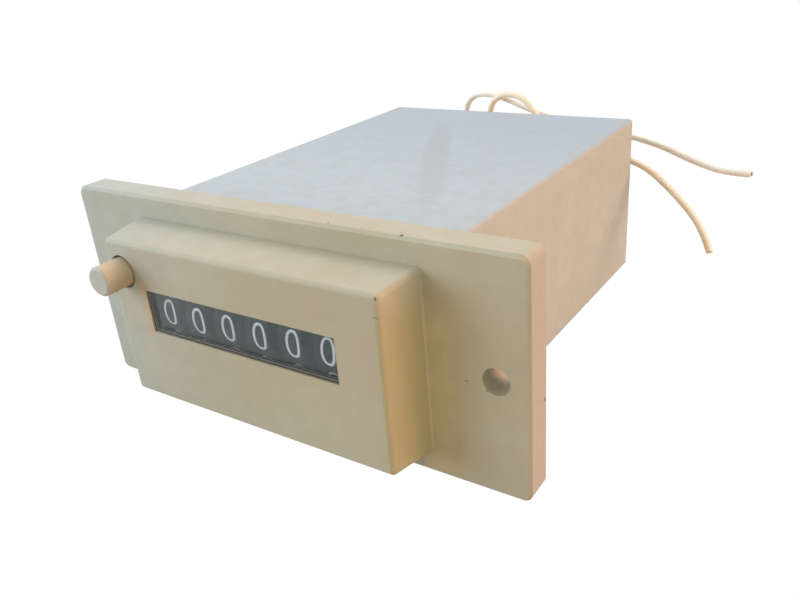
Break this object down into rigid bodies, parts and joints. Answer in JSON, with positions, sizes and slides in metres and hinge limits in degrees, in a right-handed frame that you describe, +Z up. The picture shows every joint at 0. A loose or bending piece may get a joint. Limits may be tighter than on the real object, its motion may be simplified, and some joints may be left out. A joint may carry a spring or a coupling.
{
  "type": "cable length counter",
  "caption": "Panel-mounted electromechanical impulse counter for measured cable length, with number wheels behind a window, a push reset button, a long rear housing and bare-ended leads.",
  "frame": {"origin": "centre of the flange's rear face, which lies on the panel, midway between the two screw holes", "axes": "+Z up, +Y into the panel towards the housing's rear, +X to the right as seen from the front"},
  "size_m": [0.0791, 0.0856, 0.0311],
  "materials": {
    "bezel_plastic": "moulded, fine satin grain",
    "housing_plastic": "moulded, satin",
    "clear_plastic": "clear, polished",
    "wheel_plastic": "moulded, matt black",
    "pinion_plastic": "moulded, natural",
    "button_plastic": "moulded, satin",
    "steel": "bright",
    "plated_steel": "zinc plated",
    "comb_plastic": "moulded",
    "bobbin_plastic": "moulded",
    "coil_tape": "wrapped tape",
    "brass": "tinned",
    "lead_insulation": "extruded",
    "cream_insulation": "extruded",
    "grommet_rubber": "moulded"
  },
  "bodies": {
    "case": {"front_bezel": "bezel_plastic", "rear_housing": "housing_plastic", "window_lens": "clear_plastic", "wheel_shaft": "steel", "pinion_shaft": "steel", "shaft_clips": "steel", "spacer_washer": "steel", "left_side_plate": "plated_steel", "right_side_plate": "plated_steel", "frame_crossbars": "plated_steel", "bezel_screws": "steel", "housing_screws": "steel", "button_spring": "steel", "coil_bobbin": "bobbin_plastic", "coil_winding": "coil_tape", "terminal_pins": "brass", "magnet_core": "plated_steel", "magnet_yoke": "plated_steel", "armature_pivot_pin": "steel", "armature_spring": "steel", "lead_grommet": "grommet_rubber", "inner_leads": "lead_insulation", "upper_lead": "lead_insulation", "lower_lead": "cream_insulation"},
    "units_wheel": {"number_wheel_units": "wheel_plastic", "star_wheel": "pinion_plastic"},
    "tens_wheel": {"number_wheel_tens": "wheel_plastic"},
    "hundreds_wheel": {"number_wheel_hundreds": "wheel_plastic"},
    "thousands_wheel": {"number_wheel_thousands": "wheel_plastic"},
    "ten_thousands_wheel": {"number_wheel_ten_thousands": "wheel_plastic"},
    "hundred_thousands_wheel": {"number_wheel_hundred_thousands": "wheel_plastic"},
    "pinion_1": {"transfer_pinion_1": "pinion_plastic"},
    "pinion_2": {"transfer_pinion_2": "pinion_plastic"},
    "pinion_3": {"transfer_pinion_3": "pinion_plastic"},
    "pinion_4": {"transfer_pinion_4": "pinion_plastic"},
    "pinion_5": {"transfer_pinion_5": "pinion_plastic"},
    "button": {"reset_button": "button_plastic"},
    "reset_train": {"reset_lever": "comb_plastic", "reset_comb": "comb_plastic", "reset_shaft": "steel"},
    "armature": {"armature": "plated_steel"}
  },
  "joints": [
    {"name": "units_wheel_spin", "type": "hinge", "parent": "case", "child": "units_wheel", "pos_m": [0, -0.002, 0.002], "axis": [1, 0, 0], "continuous": true},
    {"name": "tens_wheel_spin", "type": "hinge", "parent": "case", "child": "tens_wheel", "pos_m": [0, -0.002, 0.002], "axis": [1, 0, 0], "continuous": true},
    {"name": "hundreds_wheel_spin", "type": "hinge", "parent": "case", "child": "hundreds_wheel", "pos_m": [0, -0.002, 0.002], "axis": [1, 0, 0], "continuous": true},
    {"name": "thousands_wheel_spin", "type": "hinge", "parent": "case", "child": "thousands_wheel", "pos_m": [0, -0.002, 0.002], "axis": [1, 0, 0], "continuous": true},
    {"name": "ten_thousands_wheel_spin", "type": "hinge", "parent": "case", "child": "ten_thousands_wheel", "pos_m": [0, -0.002, 0.002], "axis": [1, 0, 0], "continuous": true},
    {"name": "hundred_thousands_wheel_spin", "type": "hinge", "parent": "case", "child": "hundred_thousands_wheel", "pos_m": [0, -0.002, 0.002], "axis": [1, 0, 0], "continuous": true},
    {"name": "pinion_1_spin", "type": "hinge", "parent": "case", "child": "pinion_1", "pos_m": [0, 0.0034, -0.00443], "axis": [1, 0, 0], "continuous": true},
    {"name": "pinion_2_spin", "type": "hinge", "parent": "case", "child": "pinion_2", "pos_m": [0, 0.0034, -0.00443], "axis": [1, 0, 0], "continuous": true},
    {"name": "pinion_3_spin", "type": "hinge", "parent": "case", "child": "pinion_3", "pos_m": [0, 0.0034, -0.00443], "axis": [1, 0, 0], "continuous": true},
    {"name": "pinion_4_spin", "type": "hinge", "parent": "case", "child": "pinion_4", "pos_m": [0, 0.0034, -0.00443], "axis": [1, 0, 0], "continuous": true},
    {"name": "pinion_5_spin", "type": "hinge", "parent": "case", "child": "pinion_5", "pos_m": [0, 0.0034, -0.00443], "axis": [1, 0, 0], "continuous": true},
    {"name": "reset_button_push", "type": "slide", "parent": "case", "child": "button", "axis": [0, 1, 0], "range_m": [0, 0.0025], "stiffness_N_per_m": 400, "springref_m": -0.002, "deforming": ["button_spring"]},
    {"name": "reset_comb_swing", "type": "hinge", "parent": "case", "child": "reset_train", "pos_m": [0, 0.0105, 0.0092], "axis": [1, 0, 0], "range_deg": [0, 10.6]},
    {"name": "armature_swing", "type": "hinge", "parent": "case", "child": "armature", "pos_m": [0, 0.0189, -0.0092], "axis": [-1, 0, 0], "range_deg": [0, 4], "stiffness_Nm_per_rad": 0.02, "springref_deg": -5.73, "deforming": ["armature_spring"]}
  ],
  "couplings": [
    {"joint": "tens_wheel_spin", "follows": "units_wheel_spin", "ratio": 0.1},
    {"joint": "hundreds_wheel_spin", "follows": "units_wheel_spin", "ratio": 0.01},
    {"joint": "thousands_wheel_spin", "follows": "units_wheel_spin", "ratio": 0.001},
    {"joint": "ten_thousands_wheel_spin", "follows": "units_wheel_spin", "ratio": 0.0001},
    {"joint": "hundred_thousands_wheel_spin", "follows": "units_wheel_spin", "ratio": 0.00001},
    {"joint": "pinion_1_spin", "follows": "units_wheel_spin", "ratio": -0.25},
    {"joint": "pinion_2_spin", "follows": "units_wheel_spin", "ratio": -0.025},
    {"joint": "pinion_3_spin", "follows": "units_wheel_spin", "ratio": -0.0025},
    {"joint": "pinion_4_spin", "follows": "units_wheel_spin", "ratio": -0.00025},
    {"joint": "pinion_5_spin", "follows": "units_wheel_spin", "ratio": -0.000025},
    {"joint": "reset_comb_swing", "follows": "reset_button_push", "rad_per_m": 74.002}
  ]
}
